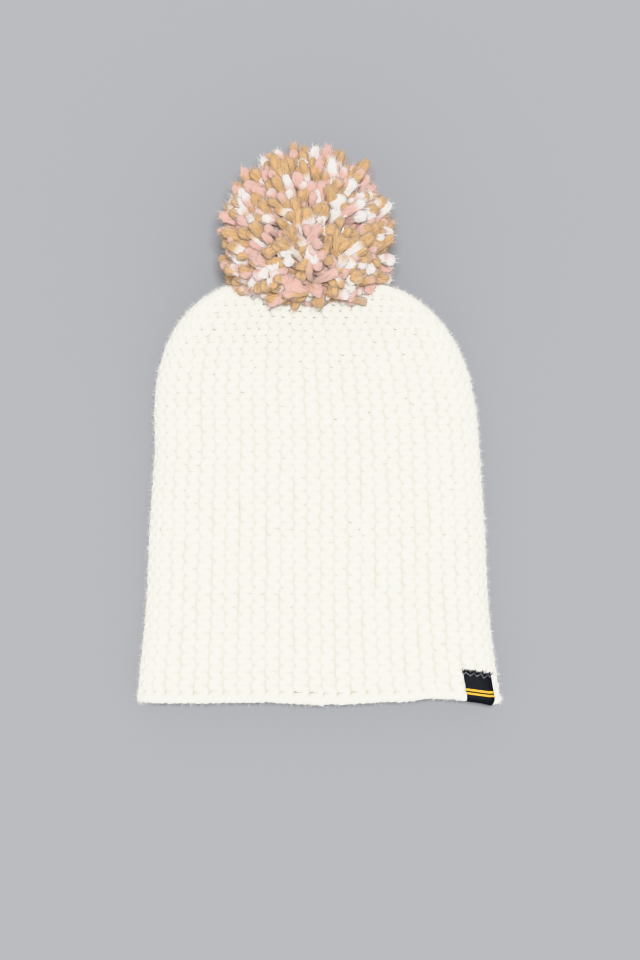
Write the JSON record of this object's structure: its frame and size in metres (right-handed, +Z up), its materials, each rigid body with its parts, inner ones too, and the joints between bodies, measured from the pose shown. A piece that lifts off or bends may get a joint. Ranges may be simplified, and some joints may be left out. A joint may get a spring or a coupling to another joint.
{
  "type": "bobble hat",
  "caption": "Chunky ivory knitted hat lying flat, open at the hem and gathered at the crown under a large mixed-colour yarn bobble, with a small dark woven label folded over the hem.",
  "frame": {"origin": "on the table under the middle of the whole hat's box", "axes": "+Y along the hat from the hem to the bobble, +X across it towards the label's side, +Z up out of the front layer"},
  "size_m": [0.2312, 0.3548, 0.105],
  "materials": {
    "ivory_knit": "soft matte chunky yarn",
    "bobble_yarn": "cut yarn ends in tan, pink and white",
    "label_weave": "fine matte weave"
  },
  "bodies": {
    "root": {"knit_body": "ivory_knit", "bobble": "bobble_yarn", "label": "label_weave"}
  },
  "joints": []
}
